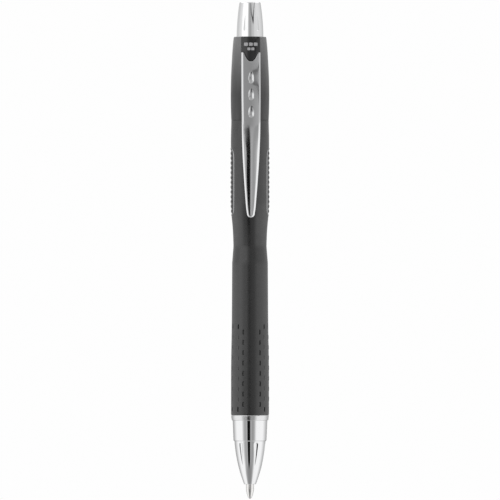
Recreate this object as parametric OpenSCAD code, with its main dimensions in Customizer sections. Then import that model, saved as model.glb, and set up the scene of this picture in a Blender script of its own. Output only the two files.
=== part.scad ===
// Retractable gel pen, upright, tip down, with its point out.
// Z runs along the pen. The origin is the lowest point of the writing ball.
// The clip is on the -Y side.

/* [Barrel] */
// Radius of the straight part of the grip
grip_r = 5.5; // [5.45:0.05:5.7]
// Radius at the waist below the clip
waist_r = 4.8; // [4.7:0.05:5]
// Radius of the body beside the clip
body_r = 5.55; // [5.5:0.05:5.7]
// Radius at the seam of the rear housing
neck_r = 5.42; // [5.3:0.02:5.5]
// Radius at the top rim
rim_r = 4.8; // [4.75:0.05:4.95]
// Height of the barrel's top rim
rim_z = 133.9; // [133.7:0.1:134.2]

/* [Nose] */
// Height of the nose's mouth
mouth_z = 4.2; // [4:0.1:4.5]
// Height of the step between cone and collar
collar_z = 16.8; // [16.6:0.1:17]
// Height of the trim ring's lower face
ring_z = 22.7; // [22.5:0.1:22.9]
// Height of the grip's lower face
grip_z = 24.3; // [24.2:0.1:24.6]
// Number of dimples round the nose and the button
dimple_count = 6; // [0:1:6]

/* [Clip] */
// Height of the clip's upper corners
clip_top = 129.25; // [129:0.05:129.4]
// Height of the clip's rounded end
clip_end = 81.5; // [80:0.5:83]
// Half of the clip's width near the top
clip_half_w = 2.78; // [2.7:0.02:2.9]
// Thickness of the clip's sheet metal
clip_t = 0.6; // [0.5:0.05:0.7]

/* [Button] */
// Height of the button's flat top
button_top = 144; // [143:0.5:145]
// Radius of the button where it enters the housing
button_r = 3.85; // [3.8:0.01:3.87]
// Radius of the button's top edge
button_top_r = 3; // [2.8:0.1:3.1]

/* [Refill] */
// Outer radius of the ink tube
tube_r = 3.05; // [2.9:0.05:3.1]
// Radius of the writing point's shank
point_r = 1.15; // [1.1:0.01:1.17]
// Radius of the writing ball
ball_r = 0.5; // [0.45:0.01:0.5]
// Level of the ink in the tube
ink_level = 78; // [40:1:95]

/* [Mechanism] */
// Travel of the refill from writing to retracted
stroke = 5.2; // [4.8:0.1:5.2]

/* [Hidden] */
$fn = 64;

eps = 0.01;
slide_gap = 0.08;

// Barrel tube
tube_bore_r = 3.4;
tube_outer_r = 4.3;
spigot_r = 4.05;
spigot_z = 17.3;
thread_pitch = 1.2;
thread_depth = 0.25;
seam_z = 109.7;

// Rear housing
housing_spigot_r = 3.85;
housing_spigot_z = 101;
sleeve_z = 111;
sleeve_top = 125.2;
sleeve_outer_r = 4.45;
sleeve_bore_r = 4.05;
mouth_stop_z = 131;
mouth_r = button_r + slide_gap;

// Cam mechanism: the rotor turns by rotor_turn degrees over the stroke
rotor_turn = 60;
rib_count = 3;
guide_tip_r = 3.35;
core_r = 3.25;
rib_tip_r = 3.95;
rib_w = 1;
rib_mid_r = (guide_tip_r + rib_tip_r) / 2;
ramp_slope = stroke / (rotor_turn * PI / 180 * rib_mid_r);
ramp_gap = 0.25;
rotor_rib_z = 112.5;
rotor_rib_top = 116.6;
guide_top = 124.5;
rotor_z = 110.5;
rotor_top = 118.6;
plunger_z = 118.7;
key_z = 119.6;
key_top = 125.7;
key_offset = 60;
tooth_depth = 0.5;
tooth_count = 3;

// Button
cap_z = 126.2;
cap_inner_z = 131;
cap_inner_r = 2.6;
plunger_top = 141;
button_shoulder_z = 135.4;
button_edge = 0.3;

// Refill
tip_flange_z = 25.5;
tube_z = 27;
tube_top = 109;
tube_inner_r = 2.45;
plug_top = 32;
holder_z = 10.6;
holder_tip_r = 1.5;
holder_mid_r = 1.95;
holder_step_z = 14.5;
channel_r = 0.8;
point_top = 14;
end_cap_bore_r = 1.6;
end_cap_stem_z = 104;
rotor_stem_r = 1.53;
rotor_stem_z = 105.5;

// Nose
mouth_r_outer = 1.75;
mouth_bore_r = point_r + slide_gap - eps;
spring_seat_z = 9;
spring_space_r = 2.65;
nose_top_r = 4.5;
collar_low_r = 4.78;
collar_high_r = 5.02;

// Springs
spring_mid_r = 2.3;
spring_wire_r = 0.2;
ball_spring_mid_r = 0.34;
ball_spring_wire_r = 0.07;
ball_spring_z = 2.4;
ball_spring_top = 11;

// Clip
clip_hinge_z = 126.5;
notch_bottom = 126.55;
notch_half_w = 2.2;
tongue_half_w = 1.2;
tongue_near = 4.45;
tongue_far = 4.85;
tongue_h = 3.1;
shield_proud = 0.6;
shield_sunk = 0.05;
clip_gap = 0.15;
clip_end_r = 1.12;
clip_taper = [[0.489, 84.3], [0.59, 87.8], [0.687, 91.3], [0.77, 94.75], [0.847, 98.2],
              [0.946, 105.2], [0.982, 112.2], [1, 118]];
clip_bend_z = 85;
oval_heights = [112.05, 117.1, 122];
oval_half_w = 0.85;
oval_half_h = 1.6;

// Dimples of the nose and the button
nose_dimple_w = 1.2;
nose_dimple_turn = 21;
button_dimple_w = 0.8;
button_dimple_turn = 35;

// Side panels
panel_mid_z = 91.85;
panel_half_h = 9.85;
panel_half_w = 2.78;
panel_power = 10;
panel_floor_r = 5.1;
rib_pitch = 1.4;
rib_height = 0.1;
panel_ribs = 12;

// ---- shared geometry ----

// Points after a, up to b, on an arc that stands out from the chord by the given amount
function arc(a, b, out, n = 8) =
  let (chord = norm(b - a),
       radius = (chord * chord / 4 + out * out) / (2 * abs(out)),
       half = asin(chord / 2 / radius),
       side = sign(out),
       along = (b - a) / chord,
       across = [along[1], -along[0]] * side,
       centre = (a + b) / 2 + across * (abs(out) - radius))
  [for (i = [1 : n]) let (t = -half + 2 * half * i / n)
    centre + along * radius * sin(t) + across * radius * cos(t)];

// Outer outline of the grip sleeve, from bottom to top, as [radius, z]
function grip_outline() = concat(
  [[grip_r - 0.08, grip_z], [grip_r, grip_z + 0.3], [grip_r, 37.3]],
  [[5.44, 42], [5.31, 49], [5.24, 57], [5.18, 68.4], [waist_r, 73.15]],
  arc([waist_r, 73.15], [5.25, 80.8], -0.06, 4),
  arc([5.25, 80.8], [body_r, 85.2], 0.03, 3),
  [[body_r, 105.2], [neck_r, seam_z]]);

// Outer outline of the rear housing, from the seam to the rim
function housing_outline() = concat(
  [[neck_r, seam_z], [5.52, 112], [5.585, 116.8]],
  arc([5.585, 116.8], [rim_r, rim_z - 0.8], 0.17, 8),
  [[rim_r - 0.15, rim_z]]);

// Radius of an outline at the given height
function radius_at(outline, z) = lookup(z, [for (p = outline) [p[1], p[0]]]);

// Outline between z0 and z1, pushed outwards by the given amount
function band(outline, z0, z1, out) = concat(
  [[radius_at(outline, z0) + out, z0]],
  [for (p = outline) if (p[1] > z0 && p[1] < z1) [p[0] + out, p[1]]],
  [[radius_at(outline, z1) + out, z1]]);

// Solid of revolution under an outline, with its seam at the back
module turned(outline) {
  first = outline[0];
  last = outline[len(outline) - 1];
  rotate([0, 0, 90])
    rotate_extrude()
      polygon(concat([[0, first[1]]], outline, [[0, last[1]]]));
}

// Tube between two radii and two heights
module ring(outer, inner, z0, z1) {
  difference() {
    rod(outer, z0, z1);
    rod(inner, z0 - 1, z1 + 1);
  }
}

module rod(r, z0, z1) {
  translate([0, 0, z0])
    rotate([0, 0, 90])
      cylinder(r = r, h = z1 - z0);
}

// A shape drawn in X and Z, as a slab between two distances on the -Y side
module slab(y_near, y_far) {
  translate([0, -y_near, 0])
    rotate([90, 0, 0])
      linear_extrude(y_far - y_near)
        children();
}

// Round wire wound as a coil from z0 to z1, with one closed turn at each end
module coil(mid_r, wire_r, z0, z1, turns, sides = 6, steps = 12) {
  rings = turns * steps;
  lead = 2 * wire_r * 1.2;
  free = z1 - z0 - 2 * wire_r - 2 * lead;
  function rise(t) = t < 1 ? lead * t
                   : t > turns - 1 ? lead + free + lead * (t - turns + 1)
                   : lead + free * (t - 1) / (turns - 2);
  points = [for (i = [0 : rings], k = [0 : sides - 1])
    let (t = i / steps, a = 360 * t, b = 360 * k / sides, r = mid_r + wire_r * cos(b))
    [r * cos(a), r * sin(a), z0 + wire_r + rise(t) + wire_r * sin(b)]];
  walls = [for (i = [0 : rings - 1], k = [0 : sides - 1])
    let (a = i * sides + k, b = i * sides + (k + 1) % sides)
    [a, b, b + sides, a + sides]];
  start = [for (k = [sides - 1 : -1 : 0]) k];
  end = [for (k = [0 : sides - 1]) rings * sides + k];
  polyhedron(points, concat([start], walls, [end]));
}

// Teardrop grooves round a tapered body, sunk to the given depth
module teardrops(round_z, point_z, round_r, point_r, width, turn) {
  if (dimple_count > 0)
    for (i = [0 : dimple_count - 1])
      rotate([0, 0, turn + i * 360 / dimple_count])
        hull() {
          translate([0, -round_r, round_z])
            sphere(r = width / 2, $fn = 16);
          translate([0, -point_r, point_z])
            sphere(r = width / 8, $fn = 8);
        }
}

// ---- barrel ----

module barrel_tube() {
  color("#202022")
    difference() {
      union() {
        rod(tube_outer_r, grip_z, seam_z);
        rod(spigot_r - thread_depth, spigot_z, grip_z + eps);
        for (z = [spigot_z + 0.4 : thread_pitch : ring_z - 0.8])
          rod(spigot_r, z, z + thread_pitch / 2);
      }
      rod(tube_bore_r, spigot_z - 1, seam_z + 1);
      rod(housing_spigot_r, housing_spigot_z, seam_z + 1);
    }
}

// Upright outline with nearly straight sides and round corners, from its lower end up one edge
// and down the other
module panel_outline() {
  edge = [for (a = [0 : 6 : 180]) let (t = -cos(a))
    [panel_half_w * sqrt(max(0, 1 - pow(abs(t), panel_power))), panel_mid_z + panel_half_h * t]];
  polygon(concat(edge, [for (i = [len(edge) - 2 : -1 : 1]) [-edge[i][0], edge[i][1]]]));
}

// Block of that outline through one flank, side is 1 for +X and -1 for -X
module panel_block(side) {
  rotate([0, 0, side * 90])
    slab(3, 7)
      panel_outline();
}

module grip_sleeve() {
  color("#29292b")
    difference() {
      turned(grip_outline());
      rod(tube_outer_r, grip_z - 1, seam_z + 1);
      for (side = [-1, 1])
        intersection() {
          panel_block(side);
          ring(8, panel_floor_r, panel_mid_z - 12, panel_mid_z + 12);
        }
    }
}

module side_panel(side) {
  first_rib = panel_mid_z + 0.6 - (panel_ribs - 1) / 2 * rib_pitch;
  color("#1c1c1e")
    intersection() {
      panel_block(side);
      difference() {
        union() {
          rod(body_r - rib_height, panel_mid_z - 15, panel_mid_z + 15);
          for (i = [0 : panel_ribs - 1])
            rod(body_r + rib_height, first_rib + i * rib_pitch - 0.35,
                first_rib + i * rib_pitch + 0.35);
        }
        rod(panel_floor_r, panel_mid_z - 20, panel_mid_z + 20);
      }
    }
}

// ---- rear housing and clip ----

// Front outline of the shield: straight sides with a rounded lower end
module shield_outline(grow = 0) {
  half_w = clip_half_w - 0.03;
  shoulder = clip_top + clip_gap - grow;
  polygon(concat(
    [[half_w + grow, rim_z + 1], [half_w + grow, shoulder]],
    [for (i = [-6 : 6])
      let (x = -i / 6 * (notch_half_w - clip_gap + grow))
      [x, notch_bottom + clip_gap - grow + (shoulder - notch_bottom - clip_gap + grow) * pow(i / 6, 2)]],
    [[-half_w - grow, shoulder], [-half_w - grow, rim_z + 1]]));
}

// Pocket behind the shield for the clip's root, or the root itself where extra is 0
module clip_pocket(extra) {
  slab(tongue_near - extra, 5.8 + 4 * extra)
    translate([-tongue_half_w - extra, clip_hinge_z - 1 - extra])
      square([2 * (tongue_half_w + extra), 1.2 + 2 * extra]);
  slab(tongue_near - extra, tongue_far + extra)
    translate([-tongue_half_w - extra, clip_hinge_z - 1])
      square([2 * (tongue_half_w + extra), tongue_h + extra]);
}

module rear_housing() {
  color("#2b2b2e")
    difference() {
      union() {
        turned(housing_outline());
        rod(housing_spigot_r, housing_spigot_z, seam_z + eps);
      }
      rod(tube_bore_r, housing_spigot_z - 1, sleeve_z + 1);
      rod(sleeve_outer_r, sleeve_z, sleeve_top);
      rod(sleeve_bore_r, sleeve_top - eps, mouth_stop_z);
      rod(mouth_r, mouth_stop_z - eps, rim_z + 1);
      clip_pocket(clip_gap);
      intersection() {
        slab(3, 8)
          shield_outline();
        difference() {
          rod(8, clip_top - 4, rim_z + 1);
          turned(shield_floor());
        }
      }
    }
}

// Outline of the shield's seat in the housing
function shield_floor() = band(housing_outline(), notch_bottom - 1, rim_z, -shield_sunk);

module clip_shield() {
  color("#101012")
    intersection() {
      slab(3, 8)
        shield_outline();
      difference() {
        turned(band(housing_outline(), notch_bottom - 0.5, rim_z, shield_proud));
        turned(shield_floor());
      }
    }
}

// Front outline of the clip
module clip_face() {
  edge = concat(
    [for (a = [-80 : 20 : 0]) [clip_end_r * cos(a), clip_end + clip_end_r * (1 + sin(a))]],
    [for (p = clip_taper) [clip_half_w * p[0], p[1]]],
    [[clip_half_w, clip_top]]);
  difference() {
    polygon(concat(edge, [for (i = [len(edge) - 1 : -1 : 0]) [-edge[i][0], edge[i][1]]]));
    polygon(concat(
      [for (i = [-6 : 6])
        [i / 6 * notch_half_w, notch_bottom + (clip_top - notch_bottom) * pow(i / 6, 2)]],
      [[notch_half_w, clip_top + 1], [-notch_half_w, clip_top + 1]]));
  }
}

// Back edge of the clip, from the end to the top, as [distance from the axis, z]
function clip_back() = concat(
  [[5.78, clip_end], [5.74, 84], [5.75, 86], [5.95, 88.5]],
  arc([5.95, 88.5], [7.15, 105], 0.18, 6),
  arc([7.15, 105], [6.4, 119.5], 0.2, 6),
  [[5.7, 124.5], [5.5, 127], [5.42, clip_top]]);

// Front edge of the clip: parallel to the back, and bent in towards the barrel at the end
function clip_front() = concat(
  [[6.1, clip_end], [6.23, 84]],
  [for (p = clip_back()) if (p[1] > clip_bend_z) p + [clip_t, 0]]);

module clip_side() {
  front = clip_front();
  back = [for (i = [len(clip_back()) - 1 : -1 : 0]) clip_back()[i]];
  rotate([90, 0, -90])
    translate([0, 0, -4])
      linear_extrude(8)
        polygon(concat(front, back));
}

module clip() {
  color("#c8cacd")
    difference() {
      union() {
        intersection() {
          clip_side();
          slab(5, 9)
            clip_face();
        }
        clip_pocket(0);
      }
      for (z = oval_heights)
        slab(oval_floor(z), 9)
          polygon([for (a = [0 : 15 : 345]) [oval_half_w * cos(a), z + oval_half_h * sin(a)]]);
    }
}

// Distance from the axis of the floor of an oval dimple, half way through the sheet
function oval_floor(z) = radius_at(clip_back(), z) + clip_t / 2;

// ---- nose ----

// Outer outline of the nose cone
function nose_outline() = concat(
  [[mouth_r_outer - 0.15, mouth_z], [mouth_r_outer, mouth_z + 0.12]],
  arc([mouth_r_outer, mouth_z + 0.12], [nose_top_r, collar_z - 0.1], 0.47, 10),
  [[collar_low_r - 0.12, collar_z], [collar_low_r, collar_z + 0.12], [collar_high_r, ring_z]]);

module nose_cone() {
  color("#c4c6c9")
    difference() {
      turned(nose_outline());
      rod(mouth_bore_r, mouth_z - 1, spring_seat_z + 1);
      rod(spring_space_r, spring_seat_z, spigot_z);
      rod(spigot_r + slide_gap, spigot_z - 0.3, ring_z + 1);
      teardrops(15.6, 10.4, 4.72, 3.66, nose_dimple_w, nose_dimple_turn);
    }
}

module trim_ring() {
  color("#d2d4d6")
    difference() {
      turned([[5.22, ring_z], [5.32, ring_z + 0.1], [5.42, grip_z - 0.1], [5.36, grip_z]]);
      rod(spigot_r + slide_gap, ring_z - 1, grip_z + 1);
    }
}

// ---- push mechanism ----

// One rib, drawn in X and Z. A slant of 1 gives that end the cam's ramp, and 0 leaves it flat.
module rib_outline(z0, z1, slant_top, slant_bottom) {
  h = rib_w / 2;
  rise = ramp_slope * h;
  polygon([[-h, z0 - slant_bottom * rise], [h, z0 + slant_bottom * rise],
           [h, z1 + slant_top * rise], [-h, z1 - slant_top * rise]]);
}

module ribs(inner, outer, turn) {
  for (i = [0 : rib_count - 1])
    rotate([0, 0, turn + i * 360 / rib_count])
      slab(inner, outer)
        children();
}

module cam_sleeve() {
  color("#8a8c90")
    union() {
      ring(sleeve_outer_r, sleeve_bore_r, sleeve_z, sleeve_top);
      intersection() {
        ribs(guide_tip_r - 0.5, sleeve_bore_r + 0.2, 0)
          rib_outline(rotor_rib_top + ramp_gap, guide_top, 0, 1);
        ring(sleeve_bore_r + 0.1, guide_tip_r, sleeve_z, sleeve_top);
      }
    }
}

// V-shaped notches across the end of a tube; direction is 1 for an upper end
module crown(z, direction, turn) {
  for (i = [0 : tooth_count - 1])
    rotate([0, 0, turn + i * 180 / tooth_count])
      translate([0, 5, 0])
        slab(0, 10)
          polygon([[-0.9, z + direction * 1], [-0.9, z], [0, z - direction * tooth_depth],
                   [0.9, z], [0.9, z + direction * 1]]);
}

module thrust_tube() {
  color("#e4e4e0")
    difference() {
      union() {
        rod(core_r, plunger_z, cap_inner_z);
        rod(cap_inner_r, cap_inner_z - eps, plunger_top);
        intersection() {
          ribs(2.8, 4.5, key_offset)
            rib_outline(key_z, key_top, 0, 0);
          rod(rib_tip_r, key_z, key_top);
        }
      }
      rod(2.1, plunger_z - 1, plunger_top - 1);
      crown(plunger_z, -1, 0);
    }
}

module cam_rotor() {
  color("#d8d8d4")
    difference() {
      union() {
        rod(core_r, rotor_z, rotor_top);
        rod(rotor_stem_r, rotor_stem_z, rotor_z + eps);
        intersection() {
          ribs(2.8, 4.5, 0)
            rib_outline(rotor_rib_z, rotor_rib_top, 1, 0);
          rod(rib_tip_r, rotor_rib_z - 1, rotor_rib_top + 2);
        }
      }
      rod(2.1, rotor_z + 2, rotor_top + 1);
      crown(rotor_top, 1, 0);
    }
}

// Outer outline of the button above its straight part
function button_outline() = concat(
  [[button_r, cap_z], [button_r, button_shoulder_z]],
  arc([button_r, button_shoulder_z], [button_top_r + 0.1, button_top - button_edge], 0.17, 6),
  arc([button_top_r + 0.1, button_top - button_edge], [button_top_r - 0.3, button_top], 0.08, 3));

module button_cap() {
  color("#d0d2d5")
    difference() {
      turned(button_outline());
      rod(core_r, cap_z - 1, cap_inner_z);
      rod(cap_inner_r, cap_inner_z - eps, plunger_top);
      teardrops(136, 139.6, 4.1, 3.7, button_dimple_w, button_dimple_turn);
    }
}

// ---- refill ----

module ink_tube() {
  color("#d9dcdc", 0.5)
    ring(tube_r, tube_inner_r, tube_z, tube_top);
}

module ink_column() {
  color("#111114")
    union() {
      rod(tube_inner_r, plug_top, ink_level);
      rod(channel_r, point_top, plug_top + eps);
    }
}

module ink_follower() {
  color("#e6e2c4", 0.6)
    rod(tube_inner_r, ink_level, ink_level + 4);
}

module tip_holder() {
  color("#f0f0ec")
    difference() {
      union() {
        rod(tube_inner_r, tube_z - eps, plug_top);
        rod(tube_r, tip_flange_z, tube_z);
        rod(holder_mid_r, holder_step_z, tip_flange_z + eps);
        rod(holder_tip_r, holder_z, holder_step_z + eps);
      }
      rod(point_r, holder_z - 1, point_top);
      rod(channel_r, point_top - eps, plug_top + 1);
    }
}

module point_housing() {
  socket_r = ball_r + 0.02;
  color("#b9b7ae")
    difference() {
      turned([[0.54, 0.3], [0.62, 0.65], [1, 1.8], [point_r, 2.6], [point_r, point_top]]);
      translate([0, 0, ball_r])
        sphere(r = socket_r);
      rod(0.3, ball_r, 2);
      rod(0.47, 1.9, point_top + 1);
    }
}

module ball_spring() {
  color("#9c9ea2")
    union() {
      rod(0.12, 2 * ball_r + 0.05, ball_spring_z);
      rod(0.4, ball_spring_z - 0.15, ball_spring_z);
      coil(ball_spring_mid_r, ball_spring_wire_r, ball_spring_z + 0.02, ball_spring_top, 12, 5, 8);
    }
}

module refill_end_cap() {
  color("#1d1d20")
    difference() {
      union() {
        rod(tube_r, tube_top, rotor_z - 0.05);
        rod(tube_inner_r, end_cap_stem_z, tube_top + eps);
      }
      rod(end_cap_bore_r, end_cap_stem_z - 1, rotor_z + 1);
    }
}

module writing_ball() {
  color("#7d7f84")
    translate([0, 0, ball_r])
      sphere(r = ball_r);
}

module return_spring() {
  color("#b4b6b9")
    coil(spring_mid_r, spring_wire_r, spring_seat_z + 0.01, tip_flange_z - 0.01, 12);
}

barrel_tube();
grip_sleeve();
side_panel(-1);  // side_panel_left
side_panel(1);  // side_panel_right
rear_housing();
clip_shield();
cam_sleeve();
trim_ring();
nose_cone();
clip();
button_cap();
thrust_tube();
cam_rotor();
ink_tube();
ink_column();
ink_follower();
tip_holder();
point_housing();
ball_spring();
refill_end_cap();
writing_ball();
return_spring();
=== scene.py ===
"""Looks of the retractable gel pen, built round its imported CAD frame.

Lengths in this script are millimetres, and a mesh is scaled to metres as it is made.
Azimuths are degrees round the pen: 0 is the clip's side (-Y) and 90 is +X.
"""

import math
from bisect import bisect_right

import bmesh
import bpy
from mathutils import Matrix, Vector


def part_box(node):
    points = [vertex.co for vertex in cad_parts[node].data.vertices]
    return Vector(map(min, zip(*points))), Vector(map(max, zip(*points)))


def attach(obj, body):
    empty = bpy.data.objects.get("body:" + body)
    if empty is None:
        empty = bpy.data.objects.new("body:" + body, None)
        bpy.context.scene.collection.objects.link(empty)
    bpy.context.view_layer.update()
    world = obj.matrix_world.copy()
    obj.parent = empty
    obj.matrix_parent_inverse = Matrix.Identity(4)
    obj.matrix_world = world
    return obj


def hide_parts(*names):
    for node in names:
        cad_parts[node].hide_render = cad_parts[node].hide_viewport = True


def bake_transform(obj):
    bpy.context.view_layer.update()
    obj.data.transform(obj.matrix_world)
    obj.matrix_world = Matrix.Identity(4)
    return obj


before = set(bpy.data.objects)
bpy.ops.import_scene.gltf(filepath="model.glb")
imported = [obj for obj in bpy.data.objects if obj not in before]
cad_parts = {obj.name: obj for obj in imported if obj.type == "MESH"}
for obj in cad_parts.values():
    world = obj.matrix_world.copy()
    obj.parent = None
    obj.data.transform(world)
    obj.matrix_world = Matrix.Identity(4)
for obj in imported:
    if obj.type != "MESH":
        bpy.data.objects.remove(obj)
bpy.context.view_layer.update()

MM = 0.001


# ---- places taken from the frame ----


def heights(node):
    """Lowest and highest point of a CAD node, in millimetres."""
    low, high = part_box(node)
    return low.z / MM, high.z / MM


MOUTH_Z, NOSE_TOP = heights("nose_cone")
RING_LOW, RING_TOP = heights("trim_ring")
GRIP_LOW, SEAM_Z = heights("grip_sleeve")
RIM_Z = heights("rear_housing")[1]
CLIP_LOW, CLIP_TOP = heights("clip")
CAP_LOW, BUTTON_TOP = heights("button_cap")
PANEL_LOW, PANEL_HIGH = heights("side_panel_left")
SPRING_LOW, SPRING_HIGH = heights("return_spring")
POINT_LOW, POINT_HIGH = heights("point_housing")
SPIGOT_LOW, TUBE_HIGH = heights("barrel_tube")

GRIP_R = 5.5
WAIST_R = 4.8
BODY_R = 5.55
NECK_R = 5.42
WAIST_Z = 73.15
SPIGOT_R = 4.05
CORE_R = 4.3


# ---- curves and outlines ----


def arc(a, b, out, count=8):
    """Points after a, up to b, on an arc that stands out from the chord by the given amount."""
    a, b = Vector(a), Vector(b)
    chord = (b - a).length
    radius = (chord * chord / 4 + out * out) / (2 * abs(out))
    half = math.asin(min(1, chord / 2 / radius))
    along = (b - a) / chord
    across = Vector((along.y, -along.x)) * math.copysign(1, out)
    centre = (a + b) / 2 + across * (abs(out) - radius)
    points = []
    for i in range(1, count + 1):
        turn = -half + 2 * half * i / count
        p = centre + along * radius * math.sin(turn) + across * radius * math.cos(turn)
        points.append((p.x, p.y))
    return points


def smooth_curve(knots):
    """A smooth function through (place, value) knots that never overshoots between them."""
    places = [k[0] for k in knots]
    values = [k[1] for k in knots]
    slopes = [
        (values[i + 1] - values[i]) / (places[i + 1] - places[i])
        for i in range(len(knots) - 1)
    ]
    tangents = [slopes[0]]
    for before, after in zip(slopes, slopes[1:]):
        tangents.append(0 if before * after <= 0 else 2 * before * after / (before + after))
    tangents.append(slopes[-1])

    def value(place):
        place = min(max(place, places[0]), places[-1])
        i = min(bisect_right(places, place) - 1, len(slopes) - 1)
        width = places[i + 1] - places[i]
        t = (place - places[i]) / width
        return (
            values[i] * (1 + 2 * t) * (1 - t) ** 2
            + tangents[i] * width * t * (1 - t) ** 2
            + values[i + 1] * t * t * (3 - 2 * t)
            + tangents[i + 1] * width * t * t * (t - 1)
        )

    return value


def steps(low, high, size):
    """Evenly spaced numbers from low to high, no further apart than size."""
    count = max(1, math.ceil((high - low) / size - 1e-9))
    return [low + (high - low) * i / count for i in range(count + 1)]


def refined(points, size):
    """The same open outline with points no further apart than size."""
    out = [points[0]]
    for a, b in zip(points, points[1:]):
        length = math.dist(a, b)
        for t in steps(0, 1, size / max(length, size))[1:]:
            out.append((a[0] + (b[0] - a[0]) * t, a[1] + (b[1] - a[1]) * t))
    return out


def clamp(x, low=0.0, high=1.0):
    return min(max(x, low), high)


def ease(x):
    x = clamp(x)
    return x * x * (3 - 2 * x)


def polar(radius, azimuth, z):
    """The point at that distance from the axis, azimuth and height."""
    a = math.radians(azimuth)
    return (radius * math.sin(a), -radius * math.cos(a), z)


# ---- meshes ----


def grid_faces(rows, columns, wrap_rows, wrap_columns, first=0):
    """Quads of a grid of vertices, row by row, that may close on itself either way."""
    faces = []
    for i in range(rows if wrap_rows else rows - 1):
        for j in range(columns if wrap_columns else columns - 1):
            below = first + i * columns
            above = first + ((i + 1) % rows) * columns
            right = (j + 1) % columns
            faces.append((below + j, below + right, above + right, above + j))
    return faces


def make_piece(name, points, faces, material, crease=32):
    """A closed mesh object from points in millimetres, smooth except at edges sharper than crease."""
    mesh = bpy.data.meshes.new(name)
    mesh.from_pydata([[x * MM for x in point] for point in points], [], faces)
    bm = bmesh.new()
    bm.from_mesh(mesh)
    bmesh.ops.remove_doubles(bm, verts=bm.verts, dist=0.0004 * MM)
    bmesh.ops.dissolve_degenerate(bm, edges=bm.edges, dist=0.0002 * MM)
    bmesh.ops.recalc_face_normals(bm, faces=bm.faces)
    bm.to_mesh(mesh)
    bm.free()
    mesh.shade_smooth()
    mesh.set_sharp_from_angle(angle=math.radians(crease))
    mesh.materials.append(material)
    piece = bpy.data.objects.new(name, mesh)
    bpy.context.scene.collection.objects.link(piece)
    return piece


def place(piece, body, slot, *nodes):
    """The piece rides on a body and stands for CAD nodes, which it hides. The slot argument is not used.
    """
    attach(piece, body)
    if nodes:
        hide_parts(*nodes)
    return piece


def lathe(name, outline, material, azimuths=None, sink=None, crease=32):
    """A closed outline of (radius, z) turned about the axis.

    sink(azimuth, radius, z) is how far a point is pushed in.
    """
    azimuths = azimuths or steps(0, 360, 2.5)[:-1]
    points = []
    for radius, z in outline:
        for azimuth in azimuths:
            depth = sink(azimuth, radius, z) if sink else 0
            points.append(polar(radius - depth, azimuth, z))
    faces = grid_faces(len(outline), len(azimuths), True, True)
    return make_piece(name, points, faces, material, crease)


def helix(name, mid_radius, wire_radius, low, high, turns, material, dead_turns=1.0):
    """Round wire wound as a spring, with closed turns at both ends."""
    sides, per_turn, slack = 12, 36, 1.03
    count = int(turns * per_turn)
    lead = 2 * wire_radius * slack
    free = high - low - 2 * wire_radius - 2 * dead_turns * lead

    def rise(turn):
        if turn < dead_turns:
            return lead * turn
        if turn > turns - dead_turns:
            return dead_turns * lead + free + lead * (turn - turns + dead_turns)
        return dead_turns * lead + free * (turn - dead_turns) / (turns - 2 * dead_turns)

    points = []
    for i in range(count + 1):
        turn = i / per_turn
        for k in range(sides):
            b = 2 * math.pi * k / sides
            radius = mid_radius + wire_radius * math.cos(b)
            z = low + wire_radius + rise(turn) + wire_radius * math.sin(b)
            points.append(polar(radius, 360 * turn, z))
    faces = grid_faces(count + 1, sides, False, True)
    faces.append(tuple(reversed(range(sides))))
    faces.append(tuple(count * sides + k for k in range(sides)))
    return make_piece(name, points, faces, material)


def patch(name, front, back, columns, material, crease=32):
    """A closed slab between two grids of points that share their border order."""
    rows = len(front) // columns
    faces = grid_faces(rows, columns, False, False)
    offset = len(front)
    faces += [tuple(reversed(f)) for f in grid_faces(rows, columns, False, False, offset)]
    border = list(range(columns))
    border += [i * columns + columns - 1 for i in range(1, rows)]
    border += [(rows - 1) * columns + j for j in range(columns - 2, -1, -1)]
    border += [i * columns for i in range(rows - 2, 0, -1)]
    for a, b in zip(border, border[1:] + border[:1]):
        faces.append((b, a, a + offset, b + offset))
    return make_piece(name, front + back, faces, material, crease)


# ---- materials ----


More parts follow.
